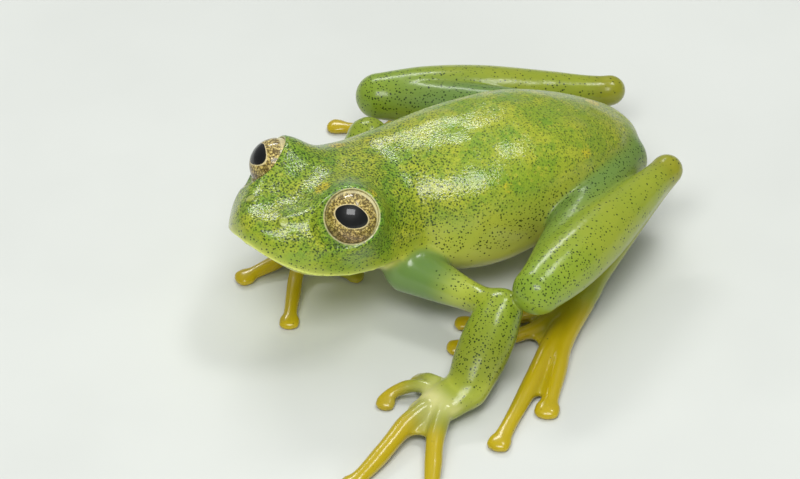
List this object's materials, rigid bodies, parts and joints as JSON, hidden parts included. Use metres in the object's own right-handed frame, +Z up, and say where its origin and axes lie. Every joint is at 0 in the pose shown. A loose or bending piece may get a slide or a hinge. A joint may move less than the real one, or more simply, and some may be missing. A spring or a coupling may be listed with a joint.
{
  "type": "glass frog",
  "caption": "Life-size still model of a green glass frog crouching with its head turned to its left, gold eyes, dark-flecked skin and yellow webbed digits.",
  "frame": {"origin": "on the ground, under the centre of the model's bounding box", "axes": "+Z up, the body's length runs along Y with the snout towards -Y, and +X is the frog's left"},
  "size_m": [0.0316, 0.0284, 0.0098],
  "materials": {
    "skin": "moist satin skin",
    "belly_skin": "smooth satin skin",
    "digit_skin": "moist glossy skin",
    "eye": "clear gloss"
  },
  "bodies": {
    "root": {"head": "skin", "lower_jaw": "belly_skin", "trunk": "skin", "pelvis": "skin", "eye_left": "eye", "eye_right": "eye", "finger_left_1": "digit_skin", "finger_left_2": "digit_skin", "finger_left_3": "digit_skin", "finger_left_4": "digit_skin", "finger_right_1": "digit_skin", "finger_right_2": "digit_skin", "finger_right_3": "digit_skin", "finger_right_4": "digit_skin", "forearm_left": "skin", "forearm_right": "skin", "hand_left": "digit_skin", "hand_right": "digit_skin", "upper_arm_left": "skin", "upper_arm_right": "skin", "foot_left": "digit_skin", "foot_right": "digit_skin", "shank_left": "skin", "shank_right": "skin", "tarsus_left": "skin", "tarsus_right": "skin", "thigh_left": "skin", "thigh_right": "skin", "toe_left_1": "digit_skin", "toe_left_2": "digit_skin", "toe_left_3": "digit_skin", "toe_left_4": "digit_skin", "toe_left_5": "digit_skin", "toe_right_1": "digit_skin", "toe_right_2": "digit_skin", "toe_right_3": "digit_skin", "toe_right_4": "digit_skin", "toe_right_5": "digit_skin"}
  },
  "joints": []
}
